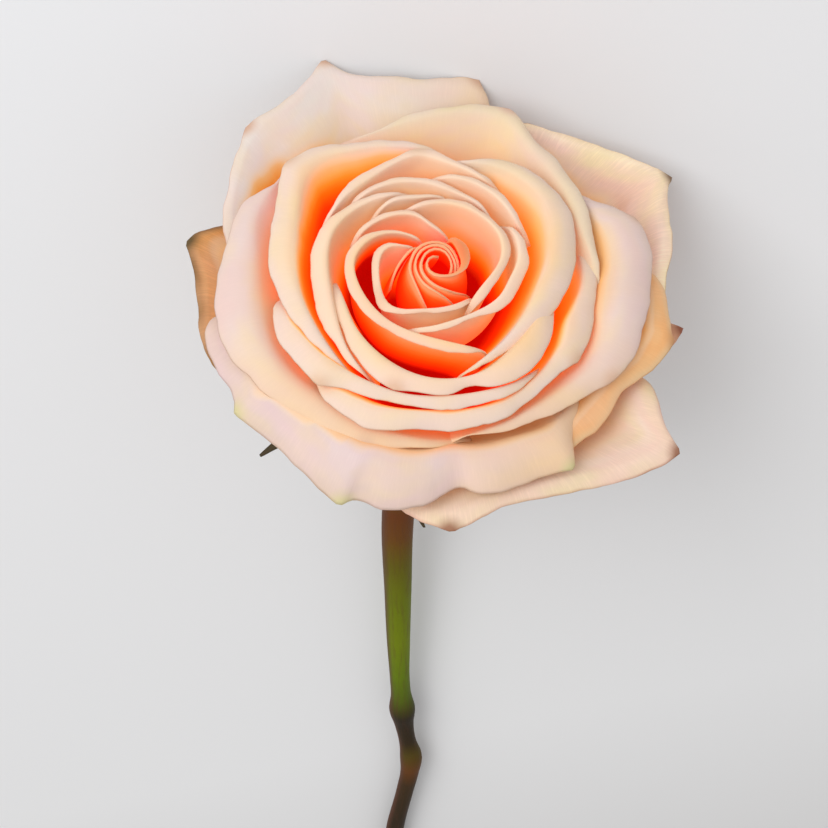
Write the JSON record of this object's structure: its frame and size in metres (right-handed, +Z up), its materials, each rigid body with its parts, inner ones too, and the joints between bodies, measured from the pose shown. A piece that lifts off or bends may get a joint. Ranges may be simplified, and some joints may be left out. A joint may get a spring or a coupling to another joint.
{
  "type": "cut rose",
  "caption": "Open cut rose with broad outer petals, a spiral heart, a calyx of pointed sepals and a length of bare stem, lying on its side.",
  "frame": {"origin": "the middle of the lying rose's footprint, on the surface it lies on", "axes": "+Y along the stem from the bloom towards the cut end, +Z up from the surface, +X across"},
  "size_m": [0.1176, 0.2932, 0.0982],
  "materials": {
    "petal": "satin",
    "sepal": "matte",
    "stem": "satin"
  },
  "bodies": {
    "root": {"bloom": "petal", "calyx": "sepal", "stem": "stem"}
  },
  "joints": []
}
